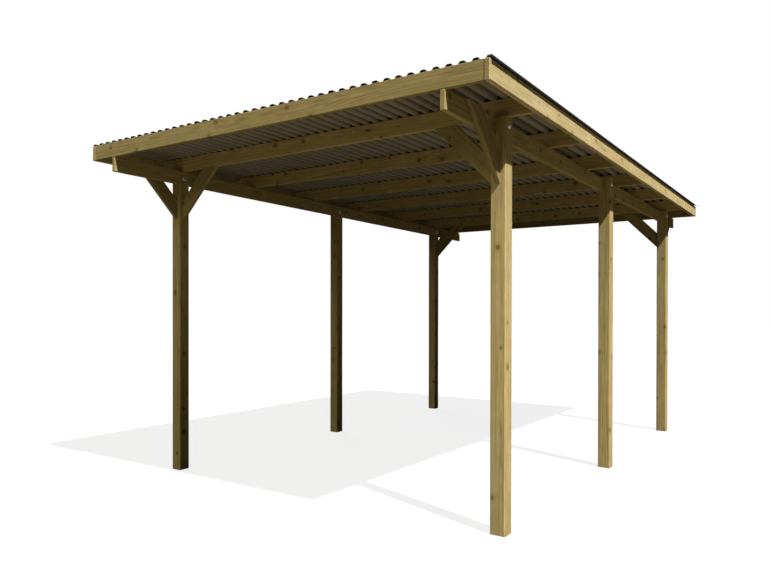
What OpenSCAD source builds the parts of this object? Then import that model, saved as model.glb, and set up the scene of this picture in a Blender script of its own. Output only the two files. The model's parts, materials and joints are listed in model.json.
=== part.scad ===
// Open timber carport for one car: six notched posts, two eaves beams, rafters
// inside a fascia frame, eight knee braces and ribbed roof sheets.
// Millimetres, +Z up, the bay open along Y, the origin on the ground at mid-plan.

/* [Roof frame] */
// Width over the outer faces of the side fascias
frame_w = 3022; // [2600:1:4200]
// Length of the side fascias, without the rear fascia board
frame_len = 4962; // [4600:1:5600]
// Height of the fascias and rafters
frame_d = 100; // [80:1:160]
// Number of rafters, spread evenly from the front posts to the rear posts
rafter_count = 6; // [3:1:9]
// Height of the rafter undersides above the ground at the front
seat_h = 2244; // [1900:1:3000]
// Fall of the roof towards the rear, in degrees
fall = 0.86; // [0:0.01:3]

/* [Timber] */
// Thickness of every board: fascias, rafters, beams and braces
board_t = 28; // [20:1:40]
// Width of the bevel along the edges of the boards
board_bevel = 3; // [1:0.5:5]
// Width of the bevel round the ends of the boards
end_bevel = 3; // [0.5:0.5:5]
// Side of the square posts
post_s = 88; // [75:1:140]
// Width of the bevel along the edges of the posts
post_bevel = 5; // [1:0.5:8]

/* [Posts and beams] */
// How far the side fascias stand outside the posts
side_over = 166; // [80:1:300]
// Distance from the front of the roof frame to the middle of the front posts,
// and from the middle of the rear posts to the rear ends of the beams
post_inset = 600; // [520:1:700]
// How far the beams run past the rear fascia
beam_over = 60; // [20:1:200]
// Depth of the eaves beams
beam_d = 100; // [80:1:180]

/* [Braces] */
// Width of the brace boards
brace_w = 100; // [60:1:120]
// Reach of a brace's long edge, down the post and along the roof frame
brace_leg = 360; // [300:1:420]
// Diameter of the screw pocket in a cross brace
pocket_d = 14; // [8:0.5:20]
// Depth of the screw pocket
pocket_depth = 18; // [8:1:18]
// Distance of the screw pocket from the rafter, along the brace's long edge
pocket_run = 112; // [90:1:180]
// Distance of the screw pocket from the brace's long edge
pocket_edge = 26; // [20:1:45]

/* [Roof sheets] */
// Distance between neighbouring ribs
rib_pitch = 70; // [66:1:90]
// Height of a rib above the valleys
rib_h = 15; // [12:1:30]
// Width of a rib at its foot
rib_foot = 44; // [40:1:52]
// Width of a rib at its crown
rib_crown = 20; // [14:1:32]
// Number of ribs on a full sheet
sheet_ribs = 16; // [15:1:20]
// Thickness of the sheet material
sheet_t = 1.2; // [0.6:0.1:2]
// Width of the lip that a lapping sheet lays in the valley of the sheet below
lap_lip = 5; // [2:0.5:8]
// Clearance between the two ribs of a lap
lap_gap = 0.2; // [0.1:0.05:0.5]
// How far the sheets start behind the front face of the front fascia
sheet_back = 12; // [0:1:20]
// How far the sheets run past the rear fascia
sheet_over = 4; // [0:1:20]

/* [Hidden] */
ROWS = ["front", "middle", "rear"];
SIDES = ["left", "right"];
ENDS = ["front", "rear"];

// How far a cutter runs past the face that it opens
cut = 5;

// Length of the eaves beams, and the distance between neighbouring posts under them
beam_len = frame_len + board_t + beam_over;
post_pitch = (beam_len - 2 * post_inset) / (len(ROWS) - 1);
// Distance between the middles of neighbouring rafters, in plan
rafter_pitch = (beam_len - 2 * post_inset) / (rafter_count - 1);
// World Y of the roof frame's front, which puts the origin at mid-plan
front_y = -(beam_len * cos(fall) - beam_d * sin(fall)) / 2;
// X of the inner face of the right posts
post_in = frame_w / 2 - side_over - post_s;
// Clear width between the side fascias
inner_w = frame_w - 2 * board_t;

// Ribs across the roof: the outer ones stand over the side fascias
rib_count = round(frame_w / rib_pitch) + 1;
// Pitches that one sheet covers, and the number of sheets
sheet_step = sheet_ribs - 1;
sheet_count = ceil((rib_count - 1) / sheet_step);
// Slope of a rib's webs
web_angle = atan2(rib_h, (rib_foot - rib_crown) / 2);
// Height of a lapping sheet's underside over the underside below it
lap_lift = sheet_t + lap_gap;
// Length of the sheets
sheet_len = frame_len + board_t + sheet_over - sheet_back;

timber = [0.72, 0.63, 0.42];
sunny_timber = [0.78, 0.69, 0.48];
shaded_timber = [0.60, 0.51, 0.31];
anthracite = [0.13, 0.13, 0.14];

// Height of the beam tops and rafter undersides at a plan position
function seat_z(y) = seat_h - (y - front_y) * tan(fall);

// Height of the shoulder that a beam rests on
function shoulder_z(y) = seat_z(y) - beam_d / cos(fall);

// Plan Y of the middle of a post row
function post_y(row) = front_y + post_inset + row * post_pitch;

// Place of a rafter's front face along the sloping beams
function rafter_place(i) = (post_inset + i * rafter_pitch) / cos(fall) - board_t / 2;

// X of the middle of a rib
function rib_x(i) = (i - (rib_count - 1) / 2) * rib_pitch;

// Outline of one rib, raised square to the sheet by n, with its right foot
// carried on downwards by drop
function rib_line(x, n, drop = 0) =
    let (grow = n * tan(web_angle / 2))
    [
        [x - rib_foot / 2 - grow, n],
        [x - rib_crown / 2 - grow, rib_h + n],
        [x + rib_crown / 2 + grow, rib_h + n],
        [x + rib_foot / 2 + grow + drop / tan(web_angle), n - drop]
    ];

// Outline of a rib that laps the rib of the sheet beside it, with its lip
function lap_line(x, n) =
    let (lip_end = x - rib_foot / 2 - lap_lift * tan(web_angle / 2) - lap_lip)
    concat([[lip_end, lap_lift + n]], rib_line(x, lap_lift + n, lap_lift));

// One face of a sheet: n is its distance from the sheet's underside
function sheet_line(first, last, n) = concat(
    first == 0 ? rib_line(rib_x(first), n) : lap_line(rib_x(first), n),
    [for (i = [first + 1 : last]) each rib_line(rib_x(i), n)]
);

function backwards(list) = [for (i = [len(list) - 1 : -1 : 0]) list[i]];

// Draws on the right side, or mirrored on the left side
module on_side(side) {
    if (side == "left")
        mirror([1, 0, 0]) children();
    else
        children();
}

// Frame of the sloping roof: Y runs down the fall, Z = 0 is the beam tops
module on_slope() {
    translate([0, front_y, seat_h])
        rotate([-fall, 0, 0])
            children();
}

// Stands a side view up: what is drawn in X and Y lies in Y and Z, its depth runs to +X
module side_view(x) {
    translate([x, 0, 0])
        rotate([90, 0, 90])
            children();
}

// Stands a front view up: what is drawn in X and Y lies in X and Z, its depth runs to -Y
module front_view(y) {
    translate([0, y, 0])
        rotate([90, 0, 0])
            children();
}

// Rectangle with bevelled corners
module bevelled(a, b, bevel) {
    polygon([
        [bevel, 0], [a - bevel, 0], [a, bevel], [a, b - bevel],
        [a - bevel, b], [bevel, b], [0, b - bevel], [0, bevel]
    ]);
}

// Board along Y with its low corner at the origin and its edges and ends bevelled
module board(length, depth) {
    intersection() {
        front_view(length)
            linear_extrude(length)
                bevelled(board_t, depth, board_bevel);
        linear_extrude(depth)
            bevelled(board_t, length, end_bevel);
        side_view(0)
            linear_extrude(board_t)
                bevelled(length, depth, end_bevel);
    }
}

// Post with its top cut to the fall and a shoulder that carries the beam
module post(row, side) {
    front = post_y(row) - post_s / 2;
    near = front - cut;
    far = front + post_s + cut;
    top = seat_h + cut;
    color(timber)
        on_side(side)
            difference() {
                translate([post_in, front, 0])
                    linear_extrude(seat_h)
                        bevelled(post_s, post_s, post_bevel);
                side_view(post_in - cut)
                    linear_extrude(post_s + 2 * cut)
                        polygon([[near, seat_z(near)], [far, seat_z(far)], [far, top], [near, top]]);
                side_view(post_in - cut)
                    linear_extrude(board_t + cut)
                        polygon([[near, shoulder_z(near)], [far, shoulder_z(far)], [far, top], [near, top]]);
            }
}

// Eaves beam in the notches of one side's posts, flush with their inner faces
module beam(side) {
    color(shaded_timber)
        on_side(side)
            on_slope()
                translate([post_in, 0, -beam_d])
                    board(beam_len, beam_d);
}

// Side fascia: it runs past the front fascia and ends at the rear one
module side_fascia(side) {
    color(sunny_timber)
        on_side(side)
            on_slope()
                translate([inner_w / 2, 0, 0])
                    board(frame_len, frame_d);
}

// Board across the roof frame with its front face at y
module cross_board(y, width) {
    on_slope()
        translate([-width / 2, y + board_t, 0])
            rotate(-90)
                board(width, frame_d);
}

// Front fascia: it sits between the side fascias
module front_fascia() {
    color(timber)
        cross_board(0, inner_w);
}

// Rear fascia: it covers the ends of the side fascias
module rear_fascia() {
    color(timber)
        cross_board(frame_len, frame_w);
}

// Rafter on both beams, between the side fascias
module rafter(i) {
    color(shaded_timber)
        cross_board(rafter_place(i), inner_w);
}

// Brace board in a view: its long edge runs from one point to another, with its
// width on the left of that line, and it is cut to the outline that the child draws
module knee(from, to) {
    run = to - from;
    intersection() {
        translate(from)
            rotate(atan2(run.y, run.x))
                translate([-cut, 0, 0])
                    rotate([90, 0, 90])
                        linear_extrude(norm(run) + 2 * cut)
                            bevelled(brace_w, board_t, board_bevel);
        translate([0, 0, -cut])
            linear_extrude(board_t + 2 * cut)
                children();
    }
}

// Brace along the beam: it laps the beam's outer face and meets the post's
// front face, or its rear face at the rear
module brace(end, side) {
    away = end == "front" ? -1 : 1;
    row = end == "front" ? 0 : len(ROWS) - 1;
    face = post_y(row) + away * post_s / 2;
    tip = face + away * brace_leg;
    past = tip + away * 2 * cut;
    low = seat_z(face) - brace_leg - 2 * cut;
    foot_point = [face, seat_z(face) - brace_leg];
    head_point = [tip, seat_z(tip)];
    color(timber)
        on_side(side)
            side_view(post_in + board_t)
                knee(away < 0 ? head_point : foot_point, away < 0 ? foot_point : head_point)
                    polygon([[face, low], [face, seat_z(face)], [past, seat_z(past)], [past, low]]);
}

// Brace across the bay: from the post's inner face to the underside of the
// rafter over that post, in the plane of the rafter, with a screw pocket in
// the face that looks out of the bay
module cross_brace(end, side) {
    i = end == "front" ? 0 : rafter_count - 1;
    reach = brace_leg + 2 * cut;
    head_point = [post_in - brace_leg, 0];
    foot_point = [post_in, -brace_leg];
    pocket = head_point + sqrt(1 / 2) * [pocket_edge + pocket_run, pocket_edge - pocket_run];
    pocket_floor = end == "front" ? board_t - pocket_depth : -cut;
    color(timber)
        on_side(side)
            on_slope()
                front_view(rafter_place(i) + board_t)
                    difference() {
                        knee(head_point, foot_point)
                            translate([post_in - reach, -reach])
                                square(reach);
                        translate([pocket.x, pocket.y, pocket_floor])
                            cylinder(d = pocket_d, h = pocket_depth + cut, $fn = 32);
                    }
}

// Ribbed roof sheet: its first rib laps the last rib of the sheet beside it
module roof_sheet(i) {
    first = i * sheet_step;
    last = min(first + sheet_step, rib_count - 1);
    under = sheet_line(first, last, 0);
    over = sheet_line(first, last, sheet_t);
    color(anthracite)
        on_slope()
            translate([0, 0, frame_d])
                front_view(sheet_back + sheet_len)
                    linear_extrude(sheet_len)
                        polygon(concat(under, backwards(over)));
}

for (row = [0 : len(ROWS) - 1], side = SIDES)
    post(row, side);
for (side = SIDES)
    beam(side);
for (side = SIDES)
    side_fascia(side);
front_fascia();
rear_fascia();
for (i = [1 : rafter_count])
    rafter(i - 1);
for (end = ENDS, side = SIDES)
    brace(end, side);
for (end = ENDS, side = SIDES)
    cross_brace(end, side);
for (i = [1 : sheet_count])
    roof_sheet(i - 1);
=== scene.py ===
"""Looks of the open timber carport: treated pine, dark ribbed roof sheets, coach bolts and screws.

Metres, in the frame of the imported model: +Z up, the bay open along Y, the ground at Z = 0.
"""

import json
import math
from collections import namedtuple

import bmesh
import bpy
from mathutils import Matrix, Vector


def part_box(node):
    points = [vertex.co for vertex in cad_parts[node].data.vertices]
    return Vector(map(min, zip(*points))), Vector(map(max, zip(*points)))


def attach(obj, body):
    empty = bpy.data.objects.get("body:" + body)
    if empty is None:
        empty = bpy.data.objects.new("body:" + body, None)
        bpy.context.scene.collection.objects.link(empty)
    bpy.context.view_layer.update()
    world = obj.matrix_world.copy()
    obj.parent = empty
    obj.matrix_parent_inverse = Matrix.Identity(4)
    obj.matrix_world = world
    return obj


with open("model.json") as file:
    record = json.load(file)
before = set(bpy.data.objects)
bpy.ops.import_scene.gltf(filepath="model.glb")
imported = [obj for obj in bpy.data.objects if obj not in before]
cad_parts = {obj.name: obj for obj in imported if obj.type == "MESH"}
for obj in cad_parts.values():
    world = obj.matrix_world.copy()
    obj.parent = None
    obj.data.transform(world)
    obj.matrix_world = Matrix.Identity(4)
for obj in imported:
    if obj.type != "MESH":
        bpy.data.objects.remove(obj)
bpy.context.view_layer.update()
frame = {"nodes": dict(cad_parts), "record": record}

MM = 0.001
DIAGONAL = math.sqrt(0.5)
WHITE = (1, 1, 1, 1)

# Viewpoint
CAMERA_PLACE = (2.8449, -5.3769, 1.2182)
CAMERA_TURN = 35.174
CAMERA_TILT = -0.317
CAMERA_ROLL = 0.067
LENS = 32.165
SHIFT = (0.0259, 0.0283)

# Light: directions, strengths, angles in degrees, and panels on the floor in metres and watts
SUN_DIRECTION = (-0.645, 0.23, -1.0)
SUN_STRENGTH = 5.7
SUN_SOFTNESS = 1.2
SUN_COLOUR = (1.0, 0.985, 0.99)
FRONT_DIRECTION = (0.05, 0.87, -0.50)
FRONT_STRENGTH = 0.68
FRONT_COLOUR = (1.0, 0.96, 0.64)
BACK_DIRECTION = (0.72, -0.55, -0.42)
BACK_STRENGTH = 1.7
BACK_COLOUR = (1.0, 1.0, 1.0)
FILL_SOFTNESS = 40.0
SKY_FILL = 0.026
FRONT_REFLECTOR_PLACE = (0.3, -4.0, 0.02)
FRONT_REFLECTOR_SIZE = (4.0, 1.6)
FRONT_REFLECTOR_POWER = 15.5
FRONT_REFLECTOR_SPREAD = 160.0
SIDE_REFLECTOR_PLACE = (3.0, -0.3, 0.02)
SIDE_REFLECTOR_SIZE = (1.6, 4.6)
SIDE_REFLECTOR_POWER = 19.5
SIDE_REFLECTOR_SPREAD = 180.0
REFLECTOR_COLOUR = (1.0, 0.86, 0.58)
FLOOR_SIZE = 80.0
FLOOR_PALE = (0.8, 0.8, 0.8, 1)
FLOOR_BOUNCE = (0.025, 0.0244, 0.0165, 1)
FLOOR_SHADE = 0.18

# Coach bolts
HEAD_RADIUS = 13 * MM
HEAD_HEIGHT = 6 * MM
HEAD_SIDES = 24
DOME_STEP = 15
WASHER_RADIUS = 17 * MM
WASHER_HOLE = 5.5 * MM
WASHER_T = 2.5 * MM
WASHER_EDGE = 0.5 * MM
WASHER_SIDES = 28
NUT_RADIUS = 10.5 * MM
NUT_H = 8 * MM
NUT_CHAMFER = 1.2 * MM
BOLT_RADIUS = 5 * MM
BOLT_END = 12 * MM
BOLT_CHAMFER = 1 * MM
BOLT_SIDES = 16

# Screws on the roof, in the boards and in the pockets of the cross braces
SCREW_STEP = 3
SCREW_SIDES = 12
SCREW_WASHER_RADIUS = 8 * MM
SCREW_WASHER_RIM = 0.5 * MM
SCREW_WASHER_T = 1.5 * MM
SCREW_WASHER_TAPER = 0.85
SCREW_HEAD_RADIUS = 4.6 * MM
SCREW_HEAD_H = 4.5 * MM
SCREW_HEAD_SUNK = 0.2 * MM
SCREW_CHAMFER = 0.5 * MM
FLAT_HEAD_RADIUS = 5.5 * MM
FLAT_HEAD_H = 0.5 * MM
FLAT_TAPER = 0.9
RECESS_RADIUS = 2.2 * MM
RECESS_DEPTH = 0.6 * MM
POCKET_DEPTH = 18 * MM
POCKET_RUN = 112 * MM
POCKET_EDGE = 26 * MM

# Every fastener
SUNK = 1 * MM
SAME_POINT = 0.01 * MM
SMOOTH_ANGLE = 35.0

# Roof
RIB_COUNT = 44
RIB_PITCH = 70 * MM
LAP_STEP = 15

# Colours
SAPWOOD = (0.56, 0.44, 0.18, 1)
LATEWOOD = (0.36, 0.25, 0.085, 1)
GREEN_STREAK = (0.46, 0.395, 0.14, 1)
PINK_STREAK = (0.52, 0.375, 0.165, 1)
BROWN_STREAK = (0.30, 0.205, 0.07, 1)
PALE_WOOD = (0.60, 0.485, 0.28, 1)
END_GRAIN = (0.21, 0.165, 0.07, 1)
KNOT_HALO = (0.29, 0.185, 0.06, 1)
KNOT_HEART = (0.19, 0.105, 0.035, 1)
KNOT_RIM = (0.08, 0.042, 0.018, 1)
DRY_CRACK = (0.09, 0.06, 0.03, 1)
# Dirt and painted shade in the joints at the board ends
JOINT_DIRT_AND_SHADE = (0.10, 0.065, 0.03, 1)
SHEET_TOP = (0.014, 0.014, 0.017, 1)
SHEET_DUST = (0.050, 0.047, 0.042, 1)
SHEET_BACK = (0.395, 0.358, 0.302, 1)
SHEET_BACK_STAIN = (0.25, 0.225, 0.17, 1)
# Painted shade up in the hollows of the ribs
SHEET_TUNNEL_SHADE = (0.18, 0.161, 0.122, 1)
# Painted shade, near black, in the ribs over the rafters and the end boards
SHEET_GAP_SHADE = (0.012, 0.010, 0.007, 1)
# Painted bluish sky light on the underside of the outer ribs
SHEET_EDGE_SKYLIGHT = (0.20, 0.192, 0.255, 1)
ZINC = (0.66, 0.64, 0.57, 1)
ZINC_DULL = (0.42, 0.40, 0.35, 1)
# The nut is a darker copy of the zinc: painted shade
NUT_SHADED_ZINC = (0.16, 0.15, 0.13, 1)
NUT_SHADED_DULL = (0.08, 0.075, 0.06, 1)
SCREW_BROWN = (0.17, 0.11, 0.055, 1)
SCREW_STAIN = (0.07, 0.045, 0.025, 1)

# Pine, heart of the trunk: where it lies and how far it wanders along a board
BOARD_PITH = 90 * MM
PITH_DEPTH_LEAST = 0.75
PITH_DEPTH_RANGE = 0.5
PITH_ASIDE = 50 * MM
PITH_TURNS = 0.9
PITH_DETAIL = 1.0
PITH_SHIFT_ALONG = 40
PITH_SHIFT_ASIDE = 30
PITH_WANDER_ACROSS = 50 * MM
PITH_WANDER_THROUGH = 40 * MM

# Pine, knots: edges are shares of a knot's radius
BOARD_BRANCHES = 1.5
KNOT_STEP = 340 * MM
KNOT_SHIFT_ASIDE = 19
KNOT_SHIFT_AHEAD = 37
KNOT_SQUEEZE = 0.8
KNOT_LEAST = 5.5 * MM
KNOT_RANGE = 6 * MM
KNOT_SOFT = 0.3 * MM
RAG_FINENESS = 160
RAG_DEPTH = 4 * MM
HEART_EDGE = (0.7, 1.05)
RIM_INNER_EDGE = (0.6, 0.95)
RIM_OUTER_EDGE = (0.95, 1.5)
HALO_EDGE = (0.8, 3.4)

# Pine, growth rings: their width, how they bend round knots, and the dark share of each
RING_LEAST = 3.8 * MM
RING_RANGE = 2.2 * MM
RING_BEND = 1.1
RING_TAPER = 6 * MM
RING_WAVER = 12 * MM
RING_DRIFT = 30 * MM
LATE_START = (0.25, 0.82)
LATE_END = (0.88, 0.99)

# Pine, noise along a board: features a metre along and across it, and the die that shifts it
Streak = namedtuple("Streak", "along across die shift detail rough")
WAVER = Streak(along=1.6, across=26, die=2, shift=20, detail=2.0, rough=0.5)
TINT = Streak(along=0.7, across=40, die=0, shift=50, detail=2.0, rough=0.5)
BAND = Streak(along=1.5, across=75, die=1, shift=50, detail=3.0, rough=0.6)
LINE = Streak(along=4.0, across=210, die=1, shift=20, detail=2.0, rough=0.6)
FIBRE = Streak(along=22, across=800, die=0, shift=0, detail=3.0, rough=0.65)
CLOUD = Streak(along=2.2, across=7, die=2, shift=9, detail=3.0, rough=0.5)
MOTTLE = Streak(along=11, across=26, die=0, shift=70, detail=2.0, rough=0.5)
CRACK = Streak(along=1.1, across=60, die=2, shift=30, detail=1.0, rough=0.5)
CRACKED = Streak(along=1.4, across=20, die=0, shift=30, detail=2.0, rough=0.5)

# Pine, where each tint starts and is full, and how strongly it shows
PINK_TINT = (0.49, 0.60)
GREEN_TINT = (0.49, 0.38)
BROWN_BAND = (0.50, 0.66)
PALE_BAND = (0.48, 0.34)
PALE_CLOUD = (0.35, 0.7)
CRACK_EDGE = (0.002, 0.006)
CRACK_PLACES = (0.56, 0.66)
END_BEVEL = (0.4, 0.6)
END_CUT = (0.8, 0.95)
LATE_SHARE = 0.5
BROWN_SHARE = 0.85
PALE_BAND_SHARE = 0.45
PALE_ALL_OVER = 0.5
HALO_LEAST = 0.4
HALO_RANGE = 0.3
HEART_SHARE = 0.9
RIM_SHARE = 0.75
CRACK_SHARE = 0.7
END_GRAIN_SHARE = 0.3
FIBRE_TONE = 0.35
LINE_TONE = 0.8
MOTTLE_TONE = 0.3
BOARD_TONE = 0.1

# Pine, touch
WOOD_ROUGH = 0.75
LATE_POLISH = 0.10
FIBRE_ROUGH = 0.2
FIBRE_RELIEF = 0.5
LINE_RELIEF = 0.4
LATE_RELIEF = 0.5
RIM_RELIEF = 0.8
CRACK_RELIEF = 1.5
RELIEF_STRENGTH = 0.35
RELIEF_DEPTH = 0.7 * MM

# Noise over a surface: features a metre along X, Y and Z
Patch = namedtuple("Patch", "scales detail rough")
SHEET_WASH = Patch(scales=(60, 1.1, 60), detail=3.0, rough=0.6)
SHEET_SPECK = Patch(scales=(500, 500, 500), detail=2.0, rough=0.5)
SHEET_CLOUD = Patch(scales=(3, 3, 3), detail=3.0, rough=0.5)
STEEL_BLOOM = Patch(scales=(150, 150, 150), detail=3.0, rough=0.5)

# Roof sheets, where the top, dust and stains start and are full, how strongly they show, and gloss
UP_EDGE = (-0.05, 0.05)
DUST_WASH = (0.45, 0.8)
DUST_WASH_SHARE = 0.5
DUST_CLOUD = (0.45, 0.75)
DUST_CLOUD_SHARE = 0.25
STAIN_WASH = (0.4, 0.75)
STAIN_WASH_SHARE = 0.6
STAIN_SPECK_SHARE = 0.3
TOP_ROUGH = 0.5
TOP_DUST_ROUGH = 0.3
TOP_SPECK_ROUGH = 0.1
TOP_COAT = 0.5
TOP_DUST_COAT = 0.4
TOP_COAT_ROUGH = 0.35
BACK_ROUGH = 0.75
BACK_SPECK_ROUGH = 0.15

# Roof sheets, painted shade in the hollows of the ribs: heights in a rib, distances from a board's or a
# rib's middle
TUNNEL_SHADE_RISE = (2 * MM, 13 * MM)
GAP_SHADE_SHARE = 0.9
GAP_SHIFT = 15 * MM
GAP_FRONT = (-22 * MM, -12 * MM)
GAP_BACK = (35 * MM, 60 * MM)
BOARD_GAP_NEAR = 14 * MM
BOARD_GAP_FAR = 24 * MM
EDGE_RIB_START = 22 * MM
EDGE_RIB_FULL = 20 * MM

# Coated steel
SPANGLE_SCALE = 420.0
WORN_BLOOM = (0.4, 0.7)
WORN_BLOOM_SHARE = 0.6
WORN_SPANGLE_SHARE = 0.25
STEEL_ROUGH = 0.42
WORN_ROUGH = 0.25
STEEL_SHINE = 0.2


def middle(node):
    low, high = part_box(node)
    return (low + high) / 2


# Places taken from the frame
rafters = sorted(name for name in frame["nodes"] if name.startswith("rafter_"))
post_place = middle("front_right_post")
row_place = middle("middle_right_post")
post_pitch = row_place.y - post_place.y
beam_place = middle("right_beam")
side_board_place = middle("right_fascia")
front_board_place = middle("front_fascia")
rear_board_place = middle("rear_fascia")
rafter_place = middle(rafters[0])
rafter_pitch = middle(rafters[1]).y - rafter_place.y
last_rafter_place = middle(rafters[-1])
brace_place = middle("front_right_brace")
cross_brace_place = middle("front_right_cross_brace")
slope = (rafter_place.z - last_rafter_place.z) / (last_rafter_place.y - rafter_place.y)
sheet_low, sheet_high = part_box("roof_sheet_1")[0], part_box("roof_sheet_3")[1]
last_rib = (RIB_COUNT - 1) / 2 * RIB_PITCH


class Wire:
    """A socket in a shader's node tree. Sums, products and powers of wires add Math nodes."""

    def __init__(self, tree, socket=None):
        self.tree = tree
        self.socket = socket

    def node(self, kind, settings=None, sockets=None, out=0):
        """Adds a node to the tree: its settings come first, then values or links for its sockets."""
        made = self.tree.nodes.new("ShaderNode" + kind)
        for name, value in (settings or {}).items():
            setattr(made, name, value)
        for name, value in (sockets or {}).items():
            if isinstance(value, Wire):
                self.tree.links.new(value.socket, made.inputs[name])
            else:
                made.inputs[name].default_value = value
        return Wire(self.tree, made.outputs[out] if made.outputs else None)

    def output(self, name):
        """Another output of the same node."""
        return Wire(self.tree, self.socket.node.outputs[name])

    def parts(self):
        """The three numbers of a vector."""
        split = self.node("SeparateXYZ", sockets={0: self})
        return split, split.output("Y"), split.output("Z")

    def vector(self, x, y, z):
        return self.node("CombineXYZ", sockets={"X": x, "Y": y, "Z": z})

    def maths(self, operation, *values):
        return self.node("Math", {"operation": operation}, dict(enumerate(values)))

    def __add__(self, other):
        return self.maths("ADD", self, other)

    def __sub__(self, other):
        return self.maths("SUBTRACT", self, other)

    def __rsub__(self, other):
        return self.maths("SUBTRACT", other, self)

    def __mul__(self, other):
        return self.maths("MULTIPLY", self, other)

    def __truediv__(self, other):
        return self.maths("DIVIDE", self, other)

    def __pow__(self, other):
        return self.maths("POWER", self, other)

    def __abs__(self):
        return self.maths("ABSOLUTE", self)

    __radd__ = __add__
    __rmul__ = __mul__

    def sign(self):
        return self.maths("SIGN", self)

    def nearest(self):
        """The nearest whole number."""
        return self.maths("ROUND", self)

    def over(self, limit):
        return self.maths("GREATER_THAN", self, limit)

    def share(self):
        """What is left over the whole number below."""
        return self.maths("FRACT", self)

    def centred(self):
        """A value from 0 to 1, moved to lie around 0."""
        return self - 0.5

    def rise(self, low, high):
        """0 at low, 1 at high, and a smooth step between them."""
        limits = {"Value": self, "From Min": low, "From Max": high}
        return self.node("MapRange", {"interpolation_type": "SMOOTHSTEP"}, limits)

    def noise(self, detail=2.0, rough=0.5):
        """Noise from 0 to 1 with features about one unit wide in this vector's space."""
        sockets = {"Vector": self, "Scale": 1.0, "Detail": detail, "Roughness": rough}
        return self.node("TexNoise", None, sockets)

    def patches(self, patch):
        """Noise over the surface at this place."""
        spot = self.node("VectorMath", {"operation": "MULTIPLY"}, {0: self, 1: patch.scales})
        return spot.noise(patch.detail, patch.rough)

    def paint(self, under, over):
        """The colour under, with the colour over laid on it by this share."""
        return self.node("Mix", {"data_type": "RGBA"}, {0: self, 6: under, 7: over}, out=2)


def new_material(name):
    """A material with an empty node tree, and a wire to start from."""
    material = bpy.data.materials.new(name)
    material.use_nodes = True
    material.node_tree.nodes.clear()
    return material, Wire(material.node_tree)


def surface(wire, shader):
    wire.node("OutputMaterial", sockets={"Surface": shader})


def over_middle(y, z, place):
    """Height over the middle of a board that falls with the roof."""
    return z + y * slope - (place.z + place.y * slope)


def slanted(reach, rise):
    """Places along and across a board that rises at 45 degrees."""
    return (rise + reach) * DIAGONAL, (rise - reach) * DIAGONAL


# Grain: places along, across and through a board, which board, and how far a face looks along it
def post_grain(x, y, z, face):
    side = x.sign()
    row = ((y - row_place.y) / post_pitch).nearest()
    through = y - row_place.y - row * post_pitch
    return z, x - side * post_place.x, through, (side, row), abs(face[2])


def beam_grain(x, y, z, face):
    side = x.sign()
    across = over_middle(y, z, beam_place)
    return y, across, x - side * beam_place.x, (side, 0.0), abs(face[1])


def side_board_grain(x, y, z, face):
    side = x.sign()
    across = over_middle(y, z, side_board_place)
    return y, across, x - side * side_board_place.x, (side, 0.0), abs(face[1])


def end_board_grain(x, y, z, face):
    end = y.sign()
    across = over_middle(y, z, front_board_place)
    middle_y = (front_board_place.y + rear_board_place.y) / 2
    through = y - middle_y - end * (rear_board_place.y - middle_y)
    return x, across, through, (end, 0.0), abs(face[0])


def rafter_grain(x, y, z, face):
    row = ((y - rafter_place.y) / rafter_pitch).nearest()
    across = over_middle(y, z, rafter_place)
    through = y - rafter_place.y - row * rafter_pitch
    return x, across, through, (row, 0.0), abs(face[0])


def brace_grain(x, y, z, face):
    side, end = x.sign(), y.sign()
    along, across = slanted(y * end + brace_place.y, z - brace_place.z)
    end_face = abs((face[2] + face[1] * end) * DIAGONAL)
    return along, across, x - side * brace_place.x, (side, end), end_face


def cross_brace_grain(x, y, z, face):
    side, end = x.sign(), y.sign()
    along, across = slanted(cross_brace_place.x - x * side, z - cross_brace_place.z)
    end_face = abs((face[2] - face[0] * side) * DIAGONAL)
    return along, across, y - end * last_rafter_place.y, (side, end), end_face


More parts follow.
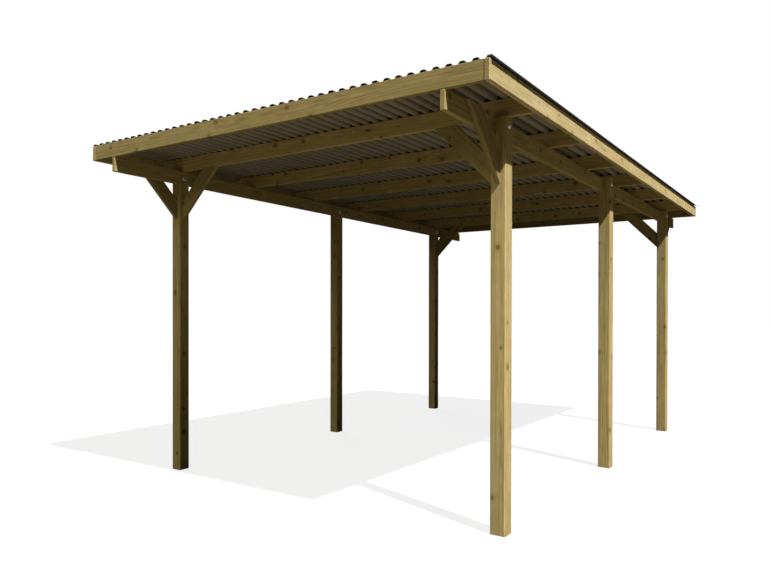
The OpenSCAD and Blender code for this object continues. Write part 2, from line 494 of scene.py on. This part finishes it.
def pine(
    name,
    grain,
    number,
    streaks,
    pale,
    knots,
    knot_depth,
    tone,
    pith=BOARD_PITH,
    branches=BOARD_BRANCHES,
    end_grain=END_GRAIN_SHARE,
    joint=0.0,
):
    """Treated pine: growth rings round a pith, knots that grow out of it, streaks, cracks and fibres.

    number sets its boards apart from those of other finishes. pith is how far the heart of the trunk
    lies from the board's middle, branches how close together the knots may stand round it, and tone
    lightens or darkens the board. The shares from 0 to 1 are how strongly streaks show, pale wood,
    places that hold a knot, how strongly knots show, darker end grain, and dirt with painted shade in
    the joints at the ends.
    """
    material, wire = new_material(name)
    place = wire.node("TexCoord", out="Object")
    face = wire.node("NewGeometry", out="Normal").parts()
    along, across, through, board, end_face = grain(*place.parts(), face)
    seed = wire.vector(*board, number)
    dice = wire.node("TexWhiteNoise", None, {"Vector": seed}, out="Color").parts()
    first, second, third = dice

    def lengthwise(streak):
        """Noise drawn out along the board."""
        ahead = along * streak.along + dice[streak.die] * streak.shift
        spot = wire.vector(ahead, across * streak.across, through * streak.across)
        return spot.noise(streak.detail, streak.rough)

    # The pith wanders along the board
    drift = wire.vector(along * PITH_TURNS + first * PITH_SHIFT_ALONG, second * PITH_SHIFT_ASIDE, number)
    drift_across, drift_through, drift_out = drift.noise(PITH_DETAIL).output("Color").parts()
    pith_across = first.centred() * PITH_ASIDE
    pith_through = third.centred().sign() * pith * (second * PITH_DEPTH_RANGE + PITH_DEPTH_LEAST)
    from_pith = across - pith_across - drift_across.centred() * PITH_WANDER_ACROSS
    to_pith = through - pith_through - drift_through.centred() * PITH_WANDER_THROUGH
    radius = (from_pith * from_pith + to_pith * to_pith) ** 0.5
    angle = wire.maths("ARCTAN2", from_pith + to_pith, from_pith - to_pith)

    # Knots are branches: each has a direction round the pith and a place along it
    knot_aside = angle * branches + first * KNOT_SHIFT_ASIDE
    knot_ahead = along / KNOT_STEP + third * KNOT_SHIFT_AHEAD
    nearest_knot = wire.node(
        "TexVoronoi",
        {"voronoi_dimensions": "2D"},
        {"Vector": wire.vector(knot_aside, knot_ahead, 0.0), "Scale": 1.0},
        out="Position",
    )
    knot_angle, knot_along, _ = nearest_knot.parts()
    chance, size_share, tone_share = nearest_knot.output("Color").parts()
    aside = (knot_aside - knot_angle) * radius / branches
    ahead = (knot_ahead - knot_along) * (KNOT_STEP * KNOT_SQUEEZE)
    ragged = wire.vector(along * RAG_FINENESS, across * RAG_FINENESS, through * RAG_FINENESS).noise()
    gap = (aside * aside + ahead * ahead) ** 0.5 + ragged.centred() * RAG_DEPTH
    knot = chance.over(1 - knots) * (size_share * KNOT_RANGE + KNOT_LEAST)

    def beyond(edge):
        """0 inside the first share of a knot's radius, 1 outside the second."""
        return gap.rise(knot * edge[0], knot * edge[1] + KNOT_SOFT)

    heart = 1 - beyond(HEART_EDGE)
    rim = beyond(RIM_INNER_EDGE) * (1 - beyond(RIM_OUTER_EDGE))
    halo = 1 - beyond(HALO_EDGE)

    # Growth rings bend round the knots
    ring_bend = halo * halo * knot * RING_BEND
    ring_shift = along * RING_TAPER + lengthwise(WAVER).centred() * RING_WAVER
    ring_place = radius + ring_bend + ring_shift + drift_out.centred() * RING_DRIFT
    ring = (ring_place / (second * RING_RANGE + RING_LEAST)).share()
    late = ring.rise(*LATE_START) * (1 - ring.rise(*LATE_END))

    # Streaks, cracks and fibres run along the board
    tint = lengthwise(TINT)
    band = lengthwise(BAND)
    line = lengthwise(LINE)
    fibre = lengthwise(FIBRE)
    cloud = lengthwise(CLOUD)
    mottle = lengthwise(MOTTLE)
    crack_line = 1 - abs(lengthwise(CRACK).centred()).rise(*CRACK_EDGE)
    crack = crack_line * lengthwise(CRACKED).rise(*CRACK_PLACES)

    colour = (late * LATE_SHARE).paint(SAPWOOD, LATEWOOD)
    colour = (tint.rise(*PINK_TINT) * streaks).paint(colour, PINK_STREAK)
    colour = (tint.rise(*GREEN_TINT) * streaks).paint(colour, GREEN_STREAK)
    colour = (band.rise(*BROWN_BAND) * (BROWN_SHARE * streaks)).paint(colour, BROWN_STREAK)
    colour = (band.rise(*PALE_BAND) * PALE_BAND_SHARE).paint(colour, PALE_WOOD)
    colour = (cloud.rise(*PALE_CLOUD) * pale + pale * PALE_ALL_OVER).paint(colour, PALE_WOOD)
    halo_share = tone_share * HALO_RANGE + HALO_LEAST
    colour = (halo * halo_share * knot_depth).paint(colour, KNOT_HALO)
    colour = (heart * knot_depth * HEART_SHARE).paint(colour, KNOT_HEART)
    colour = (rim * knot_depth * RIM_SHARE).paint(colour, KNOT_RIM)
    colour = (crack * CRACK_SHARE).paint(colour, DRY_CRACK)
    fine_tone = fibre.centred() * FIBRE_TONE + line.centred() * LINE_TONE
    broad_tone = mottle.centred() * MOTTLE_TONE + first.centred() * BOARD_TONE
    value = (fine_tone + broad_tone + 1) * tone
    colour = wire.node("HueSaturation", None, {"Color": colour, "Value": value})
    end_cut = end_face.rise(*END_CUT)
    end_bevel = end_face.rise(*END_BEVEL) * (1 - end_cut)
    colour = (end_cut * end_grain).paint(colour, END_GRAIN)
    # Dirt and painted shade on the end bevels, where the boards meet
    colour = (end_bevel * joint).paint(colour, JOINT_DIRT_AND_SHADE)

    raised = fibre * FIBRE_RELIEF + line * LINE_RELIEF + late * LATE_RELIEF
    relief = raised - rim * RIM_RELIEF - crack * CRACK_RELIEF
    bump = wire.node(
        "Bump", None, {"Height": relief, "Strength": RELIEF_STRENGTH, "Distance": RELIEF_DEPTH}
    )
    shader = wire.node(
        "BsdfPrincipled",
        None,
        {
            "Base Color": colour,
            "Roughness": WOOD_ROUGH - late * LATE_POLISH + fibre.centred() * FIBRE_ROUGH,
            "Specular IOR Level": 0.0,
            "Normal": bump,
        },
    )
    surface(wire, shader)
    return material


def roof_sheet_finish():
    """Dark satin with dust on the weather side, dull grey brown underneath, painted shade in the ribs
    and painted light at the sides.
    """
    material, wire = new_material("roof_sheet")
    place = wire.node("TexCoord", out="Object")
    x, y, z = place.parts()
    looks_up = wire.node("NewGeometry", out="Normal").parts()[2].rise(*UP_EDGE)
    wash = place.patches(SHEET_WASH)
    speck = place.patches(SHEET_SPECK)
    cloud = place.patches(SHEET_CLOUD)

    # Weather side
    dust = wash.rise(*DUST_WASH) * DUST_WASH_SHARE + cloud.rise(*DUST_CLOUD) * DUST_CLOUD_SHARE
    head_on = 1 - wire.node("LayerWeight", None, {"Blend": 0.5}, out="Facing")
    top = wire.node(
        "BsdfPrincipled",
        None,
        {
            "Base Color": dust.paint(SHEET_TOP, SHEET_DUST),
            "Roughness": TOP_ROUGH + dust * TOP_DUST_ROUGH + speck.centred() * TOP_SPECK_ROUGH,
            "Specular IOR Level": 0.0,
            "Coat Weight": head_on * head_on * (TOP_COAT - dust * TOP_DUST_COAT),
            "Coat Roughness": TOP_COAT_ROUGH,
        },
    )

    # Underside, with painted shade up in the ribs
    stain = wash.rise(*STAIN_WASH) * STAIN_WASH_SHARE + speck.centred() * STAIN_SPECK_SHARE
    height = z + y * slope - (sheet_low.z + sheet_high.y * slope)
    raised = height.rise(*TUNNEL_SHADE_RISE)
    under = raised.paint(stain.paint(SHEET_BACK, SHEET_BACK_STAIN), SHEET_TUNNEL_SHADE)

    # Painted shade: the hollows of the ribs are painted near black over the rafters and the end boards
    from_first = y - rafter_place.y
    row = ((from_first - GAP_SHIFT) / rafter_pitch).nearest()
    from_rafter = from_first - row * rafter_pitch
    over_rafter = from_rafter.rise(*GAP_FRONT) * (1 - from_rafter.rise(*GAP_BACK))
    past_front = 1 - (y - front_board_place.y).rise(BOARD_GAP_NEAR, BOARD_GAP_FAR)
    past_rear = (y - rear_board_place.y).rise(-BOARD_GAP_FAR, -BOARD_GAP_NEAR)
    shade_over_board = over_rafter + past_front + past_rear
    inside = 1 - abs(x).rise(last_rib - EDGE_RIB_START, last_rib - EDGE_RIB_FULL)
    under = (raised * shade_over_board * inside * GAP_SHADE_SHARE).paint(under, SHEET_GAP_SHADE)
    # Painted light: the underside of the outer ribs, past the side boards, is painted a light bluish
    # grey for the sky light it gets
    under = (1 - inside).paint(under, SHEET_EDGE_SKYLIGHT)
    back = wire.node(
        "BsdfPrincipled",
        None,
        {
            "Base Color": under,
            "Roughness": BACK_ROUGH + speck.centred() * BACK_SPECK_ROUGH,
            "Specular IOR Level": 0.0,
        },
    )
    surface(wire, wire.node("MixShader", None, {0: looks_up, 1: back, 2: top}))
    return material


def metal(name, bright, dull, metallic):
    """Coated steel with a dull spangle."""
    material, wire = new_material(name)
    place = wire.node("TexCoord", out="Object")
    cells = wire.node("TexVoronoi", None, {"Vector": place, "Scale": SPANGLE_SCALE}, out="Color")
    spangle = cells.parts()[0]
    bloom = place.patches(STEEL_BLOOM)
    worn = bloom.rise(*WORN_BLOOM) * WORN_BLOOM_SHARE + spangle * WORN_SPANGLE_SHARE
    shader = wire.node(
        "BsdfPrincipled",
        None,
        {
            "Base Color": worn.paint(bright, dull),
            "Metallic": metallic,
            "Roughness": STEEL_ROUGH + worn * WORN_ROUGH,
            "Specular IOR Level": STEEL_SHINE,
        },
    )
    surface(wire, shader)
    return material


def turned(mesh, outline, steps):
    """Spins an outline of (radius, height) points round the Z axis."""
    points = [mesh.verts.new((radius, 0, height)) for radius, height in outline]
    lines = [mesh.edges.new(pair) for pair in zip(points, points[1:])]
    bmesh.ops.spin(
        mesh,
        geom=points + lines,
        cent=(0, 0, 0),
        axis=(0, 0, 1),
        angle=2 * math.pi,
        steps=steps,
        use_merge=True,
    )


def six_sided(mesh, radius, low, height, chamfer):
    """A hexagon head or nut that stands on low, with its upper edges bevelled."""
    made = bmesh.ops.create_circle(mesh, cap_ends=True, segments=6, radius=radius)
    face = made["verts"][0].link_faces[0]
    bmesh.ops.translate(mesh, verts=made["verts"], vec=(0, 0, low))
    raised = bmesh.ops.extrude_face_region(mesh, geom=[face])["geom"]
    corners = [part for part in raised if isinstance(part, bmesh.types.BMVert)]
    edges = [part for part in raised if isinstance(part, bmesh.types.BMEdge)]
    bmesh.ops.translate(mesh, verts=corners, vec=(0, 0, height))
    bmesh.ops.bevel(
        mesh, geom=edges, offset=chamfer, affect="EDGES", segments=2, profile=0.5, material=-1
    )


def close_up(mesh):
    """Merges doubles and turns every face outwards."""
    bmesh.ops.remove_doubles(mesh, verts=mesh.verts, dist=SAME_POINT)
    bmesh.ops.recalc_face_normals(mesh, faces=mesh.faces)


def piece(name, mesh, material):
    """Makes an object of a finished mesh, with soft shading across its shallow edges."""
    for face in mesh.faces:
        face.smooth = True
    for edge in mesh.edges:
        edge.smooth = edge.is_manifold and edge.calc_face_angle() < math.radians(SMOOTH_ANGLE)
    data = bpy.data.meshes.new(name)
    mesh.to_mesh(data)
    mesh.free()
    data.materials.append(material)
    made = bpy.data.objects.new(name, data)
    bpy.context.scene.collection.objects.link(made)
    return made


def bolt_head():
    """A domed head that stands on the XY plane."""
    head = bmesh.new()
    turns = [math.radians(degrees) for degrees in range(0, 91, DOME_STEP)]
    dome = [(HEAD_RADIUS * math.cos(turn), HEAD_HEIGHT * math.sin(turn)) for turn in turns]
    turned(head, [(HEAD_RADIUS, -SUNK)] + dome, HEAD_SIDES)
    return head


def bolt_washer():
    """A flat ring with its upper edge broken."""
    washer = bmesh.new()
    ring = [
        (WASHER_HOLE, 0),
        (WASHER_RADIUS, 0),
        (WASHER_RADIUS, WASHER_T - WASHER_EDGE),
        (WASHER_RADIUS - WASHER_EDGE, WASHER_T),
        (WASHER_HOLE, WASHER_T),
        (WASHER_HOLE, 0),
    ]
    turned(washer, ring, WASHER_SIDES)
    return washer


def bolt_nut():
    """A hexagon nut on the washer, with the end of the bolt through it."""
    nut = bmesh.new()
    six_sided(nut, NUT_RADIUS, WASHER_T, NUT_H, NUT_CHAMFER)
    end = WASHER_T + BOLT_END
    shank = [
        (BOLT_RADIUS, WASHER_T),
        (BOLT_RADIUS, end - BOLT_CHAMFER),
        (BOLT_RADIUS - BOLT_CHAMFER, end),
        (0, end),
    ]
    turned(nut, shank, BOLT_SIDES)
    return nut


def bolt(post, side, zinc, shaded_zinc):
    """Coach bolt through a post and its beam: domed head outside, washer and nut on the beam."""
    low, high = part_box(post)
    y = (low.y + high.y) / 2
    z = beam_place.z - (y - beam_place.y) * slope
    outer_x = max(abs(low.x), abs(high.x)) * side
    inner_x = min(abs(low.x), abs(high.x)) * side
    outwards = Matrix.Rotation(math.radians(90) * side, 4, "Y")
    inwards = Matrix.Rotation(math.radians(-90) * side, 4, "Y")
    outside = Matrix.Translation((outer_x, y, z)) @ outwards
    inside = Matrix.Translation((inner_x, y, z)) @ inwards
    name = post.replace("_post", "")
    for ending, mesh, place, finish in (
        ("_bolt_head", bolt_head(), outside, zinc),
        ("_bolt_washer", bolt_washer(), inside, zinc),
        ("_bolt_nut", bolt_nut(), inside, shaded_zinc),
    ):
        close_up(mesh)
        mesh.transform(place)
        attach(piece(name + ending, mesh, finish), "root")


def scatter(name, one, spots, material):
    """Copies a small mesh to many spots, each a matrix, as one piece."""
    pattern = bpy.data.meshes.new("pattern")
    one.to_mesh(pattern)
    one.free()
    mesh = bmesh.new()
    for spot in spots:
        before = len(mesh.verts)
        mesh.from_mesh(pattern)
        mesh.verts.ensure_lookup_table()
        bmesh.ops.transform(mesh, matrix=spot, verts=mesh.verts[before:])
    bpy.data.meshes.remove(pattern)
    made = piece(name, mesh, material)
    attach(made, "root")
    return made


def roof_screws(finish):
    """Hexagon screws with sealing washers on the rib crowns, over every rafter."""
    screw = bmesh.new()
    washer = [
        (SCREW_WASHER_RADIUS, -SUNK),
        (SCREW_WASHER_RADIUS, SCREW_WASHER_RIM),
        (SCREW_WASHER_RADIUS * SCREW_WASHER_TAPER, SCREW_WASHER_T),
        (0, SCREW_WASHER_T),
    ]
    turned(screw, washer, SCREW_SIDES)
    seat = SCREW_WASHER_T - SCREW_HEAD_SUNK
    six_sided(screw, SCREW_HEAD_RADIUS, seat, SCREW_HEAD_H, SCREW_CHAMFER)
    close_up(screw)
    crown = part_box("roof_sheet_1")[1].z
    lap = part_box("roof_sheet_2")[1].z - crown
    ribs = [*range(0, RIB_COUNT - SCREW_STEP, SCREW_STEP), RIB_COUNT - 1]
    spots = []
    for rafter in rafters:
        y = middle(rafter).y
        for rib in ribs:
            lapped = rib % LAP_STEP == 0 and 0 < rib < RIB_COUNT - 1
            z = crown - (y - sheet_low.y) * slope + (lap if lapped else 0)
            spots.append(Matrix.Translation((rib * RIB_PITCH - last_rib, y, z)))
    scatter("roof_screws", screw, spots, finish)


def board_screws(finish):
    """Countersunk screws through the side boards into the rafters, and in the cross braces' pockets."""
    screw = bmesh.new()
    outline = [
        (FLAT_HEAD_RADIUS, -SUNK),
        (FLAT_HEAD_RADIUS, 0),
        (FLAT_HEAD_RADIUS * FLAT_TAPER, FLAT_HEAD_H),
        (RECESS_RADIUS, FLAT_HEAD_H),
        (RECESS_RADIUS * FLAT_TAPER, -RECESS_DEPTH),
        (0, -RECESS_DEPTH),
    ]
    turned(screw, outline, SCREW_SIDES)
    close_up(screw)
    spots = []
    for side in (-1, 1):
        outwards = Matrix.Rotation(math.radians(90) * side, 4, "Y")
        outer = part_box("right_fascia")[1].x * side
        for rafter in rafters:
            end = middle(rafter)
            spots.append(Matrix.Translation((outer, end.y, end.z)) @ outwards)
    reach = (POCKET_RUN + POCKET_EDGE) * DIAGONAL
    drop = (POCKET_RUN - POCKET_EDGE) * DIAGONAL
    for end, turn in (("front", 90), ("rear", -90)):
        low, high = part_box(f"{end}_right_cross_brace")
        y = low.y + POCKET_DEPTH if end == "front" else high.y - POCKET_DEPTH
        for side in (-1, 1):
            place = Matrix.Translation(((low.x + reach) * side, y, high.z - drop))
            spots.append(place @ Matrix.Rotation(math.radians(turn), 4, "X"))
    scatter("board_screws", screw, spots, finish)


def seen(wire):
    """1 for rays that show the background: from the camera, mirrored or let through."""
    path = wire.node("LightPath", out="Is Camera Ray")
    shown = path + path.output("Is Glossy Ray") + path.output("Is Transmission Ray")
    return shown.over(0.5)


def floor():
    """Plain pale floor: white to the eye apart from the shadow, and dark to the light it bounces."""
    material, wire = new_material("floor")
    glow = wire.node("Emission", None, {"Color": WHITE, "Strength": 1.0})
    pale = wire.node("BsdfDiffuse", None, {"Color": FLOOR_PALE})
    bounce = wire.node("BsdfDiffuse", None, {"Color": FLOOR_BOUNCE})
    shown = wire.node("MixShader", None, {0: FLOOR_SHADE, 1: glow, 2: pale})
    surface(wire, wire.node("MixShader", None, {0: seen(wire), 1: bounce, 2: shown}))
    mesh = bmesh.new()
    bmesh.ops.create_grid(mesh, x_segments=1, y_segments=1, size=FLOOR_SIZE / 2)
    made = piece("floor", mesh, material)


def lamp(name, direction, strength, softness, colour):
    """A sun lamp: softness is the angle that it fills in the sky."""
    light = bpy.data.lights.new(name, "SUN")
    light.energy = strength
    light.angle = math.radians(softness)
    light.color = colour
    made = bpy.data.objects.new(name, light)
    made.rotation_mode = "QUATERNION"
    made.rotation_quaternion = Vector(direction).to_track_quat("-Z", "Y")
    bpy.context.scene.collection.objects.link(made)


def reflector(name, place, size, power, spread):
    """A soft panel that lies on the floor and lifts the shade under the roof."""
    light = bpy.data.lights.new(name, "AREA")
    light.shape = "RECTANGLE"
    light.size, light.size_y = size
    light.energy = power
    light.spread = math.radians(spread)
    light.color = REFLECTOR_COLOUR
    made = bpy.data.objects.new(name, light)
    made.location = place
    made.rotation_euler = (math.radians(180), 0, 0)
    made.visible_camera = False
    bpy.context.scene.collection.objects.link(made)


def studio():
    """A clear key light from the right, soft fills from front and back, panels and a low, even sky."""
    lamp("key", SUN_DIRECTION, SUN_STRENGTH, SUN_SOFTNESS, SUN_COLOUR)
    lamp("front_fill", FRONT_DIRECTION, FRONT_STRENGTH, FILL_SOFTNESS, FRONT_COLOUR)
    lamp("back_fill", BACK_DIRECTION, BACK_STRENGTH, FILL_SOFTNESS, BACK_COLOUR)
    reflector(
        "front_reflector",
        FRONT_REFLECTOR_PLACE,
        FRONT_REFLECTOR_SIZE,
        FRONT_REFLECTOR_POWER,
        FRONT_REFLECTOR_SPREAD,
    )
    reflector(
        "side_reflector",
        SIDE_REFLECTOR_PLACE,
        SIDE_REFLECTOR_SIZE,
        SIDE_REFLECTOR_POWER,
        SIDE_REFLECTOR_SPREAD,
    )
    world = bpy.data.worlds.new("studio")
    world.use_nodes = True
    world.node_tree.nodes.clear()
    wire = Wire(world.node_tree)
    fill = wire.node("Background", None, {"Color": WHITE, "Strength": SKY_FILL})
    white = wire.node("Background", None, {"Color": WHITE, "Strength": 1.0})
    mixed = wire.node("MixShader", None, {0: seen(wire), 1: fill, 2: white})
    wire.node("OutputWorld", sockets={"Surface": mixed})
    bpy.context.scene.world = world


def camera():
    lens = bpy.data.cameras.new("camera")
    lens.lens = LENS
    lens.shift_x, lens.shift_y = SHIFT
    made = bpy.data.objects.new("camera", lens)
    made.location = CAMERA_PLACE
    turn = Matrix.Rotation(math.radians(CAMERA_TURN), 3, "Z")
    tilt = Matrix.Rotation(math.radians(90 + CAMERA_TILT), 3, "X")
    roll = Matrix.Rotation(math.radians(CAMERA_ROLL), 3, "Z")
    made.rotation_euler = (turn @ tilt @ roll).to_euler()
    bpy.context.scene.collection.objects.link(made)
    bpy.context.scene.camera = made


camera()
studio()
floor()

# Timber of each kind of piece
timbers = {
    "post_timber": {
        "grain": post_grain,
        "number": 1.0,
        "streaks": 0.55,
        "pale": 0.10,
        "knots": 0.4,
        "knot_depth": 0.7,
        "tone": 0.97,
        "pith": 12 * MM,
        "branches": 0.8,
    },
    "beam_timber": {
        "grain": beam_grain,
        "number": 2.0,
        "streaks": 0.4,
        "pale": 0.05,
        "knots": 0.4,
        "knot_depth": 0.7,
        "tone": 0.85,
    },
    "side_fascia_timber": {
        "grain": side_board_grain,
        "number": 3.0,
        "streaks": 0.6,
        "pale": 0.45,
        "knots": 0.4,
        "knot_depth": 0.5,
        "tone": 1.08,
        "end_grain": 0.6,
    },
    "end_fascia_timber": {
        "grain": end_board_grain,
        "number": 4.0,
        "streaks": 0.35,
        "pale": 0.05,
        "knots": 0.45,
        "knot_depth": 0.55,
        "tone": 0.655,
        "joint": 0.8,
    },
    # Rafters toned lighter, in part painted light for their place under the roof
    "rafter_timber": {
        "grain": rafter_grain,
        "number": 5.0,
        "streaks": 0.4,
        "pale": 0.05,
        "knots": 0.45,
        "knot_depth": 0.8,
        "tone": 1.11,
    },
    # Braces and cross braces toned darker, in part painted shade for their place in the shade under the
    # roof
    "brace_timber": {
        "grain": brace_grain,
        "number": 6.0,
        "streaks": 0.5,
        "pale": 0.08,
        "knots": 0.3,
        "knot_depth": 0.7,
        "tone": 0.67,
    },
    "cross_brace_timber": {
        "grain": cross_brace_grain,
        "number": 7.0,
        "streaks": 0.5,
        "pale": 0.08,
        "knots": 0.3,
        "knot_depth": 0.7,
        "tone": 0.80,
    },
}
finishes = {name: pine(name, **look) for name, look in timbers.items()}
finishes["roof_sheet"] = roof_sheet_finish()
for part in frame["record"]["subparts"]:
    for slot in frame["nodes"][part["node"]].material_slots:
        slot.material = finishes[part["material_slot"]]

zinc = metal("bolt_zinc", ZINC, ZINC_DULL, metallic=0.35)
# The nut is a darker copy of the zinc: painted shade for the nut in the middle of its washer
shaded_zinc = metal("nut_shaded_zinc", NUT_SHADED_ZINC, NUT_SHADED_DULL, metallic=0.6)
for row in ("front", "middle", "rear"):
    bolt(f"{row}_left_post", -1, zinc, shaded_zinc)
    bolt(f"{row}_right_post", 1, zinc, shaded_zinc)
roof_screws(finishes["roof_sheet"])
board_screws(metal("screw_steel", SCREW_BROWN, SCREW_STAIN, metallic=0.4))

bpy.context.scene.view_settings.view_transform = "Standard"
